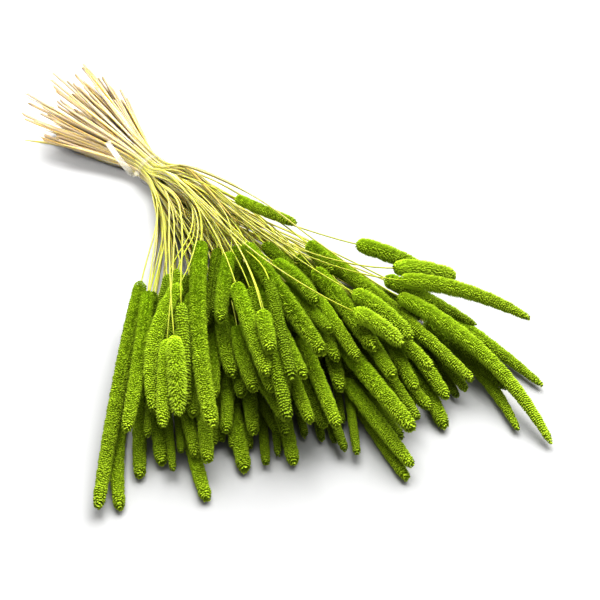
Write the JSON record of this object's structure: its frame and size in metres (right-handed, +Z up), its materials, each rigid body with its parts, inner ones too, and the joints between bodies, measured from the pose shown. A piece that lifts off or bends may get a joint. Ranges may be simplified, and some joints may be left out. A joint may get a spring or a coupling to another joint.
{
  "type": "dried timothy grass bunch",
  "caption": "Tied bunch of dyed dried grass lying down: thin stems fan out from a narrow tie and end in dense bristly cylindrical spikes.",
  "frame": {"origin": "on the surface that the bunch lies on, under the middle of its box", "axes": "+X from the cut ends to the spikes, +Z up from the surface"},
  "size_m": [0.5406, 0.2522, 0.0702],
  "materials": {
    "dyed_grass": "dry, matt, bristly, dyed lime green on the spikes and straw-coloured at the cut ends",
    "tie_plastic": "pale, slightly see-through plastic strip"
  },
  "bodies": {
    "root": {"stalk_01": "dyed_grass", "stalk_02": "dyed_grass", "stalk_03": "dyed_grass", "stalk_04": "dyed_grass", "stalk_05": "dyed_grass", "stalk_06": "dyed_grass", "stalk_07": "dyed_grass", "stalk_08": "dyed_grass", "stalk_09": "dyed_grass", "stalk_10": "dyed_grass", "stalk_11": "dyed_grass", "stalk_12": "dyed_grass", "stalk_13": "dyed_grass", "stalk_14": "dyed_grass", "stalk_15": "dyed_grass", "stalk_16": "dyed_grass", "stalk_17": "dyed_grass", "stalk_18": "dyed_grass", "stalk_19": "dyed_grass", "stalk_20": "dyed_grass", "stalk_21": "dyed_grass", "stalk_22": "dyed_grass", "stalk_23": "dyed_grass", "stalk_24": "dyed_grass", "stalk_25": "dyed_grass", "stalk_26": "dyed_grass", "stalk_27": "dyed_grass", "stalk_28": "dyed_grass", "stalk_29": "dyed_grass", "stalk_30": "dyed_grass", "stalk_31": "dyed_grass", "stalk_32": "dyed_grass", "stalk_33": "dyed_grass", "stalk_34": "dyed_grass", "stalk_35": "dyed_grass", "stalk_36": "dyed_grass", "stalk_37": "dyed_grass", "stalk_38": "dyed_grass", "stalk_39": "dyed_grass", "stalk_40": "dyed_grass", "stalk_41": "dyed_grass", "stalk_42": "dyed_grass", "stalk_43": "dyed_grass", "stalk_44": "dyed_grass", "stalk_45": "dyed_grass", "stalk_46": "dyed_grass", "stalk_47": "dyed_grass", "stalk_48": "dyed_grass", "stalk_49": "dyed_grass", "stalk_50": "dyed_grass", "stalk_51": "dyed_grass", "stalk_52": "dyed_grass", "stalk_53": "dyed_grass", "stalk_54": "dyed_grass", "stalk_55": "dyed_grass", "stalk_56": "dyed_grass", "stalk_57": "dyed_grass", "stalk_58": "dyed_grass", "stalk_59": "dyed_grass", "tie": "tie_plastic"}
  },
  "joints": []
}
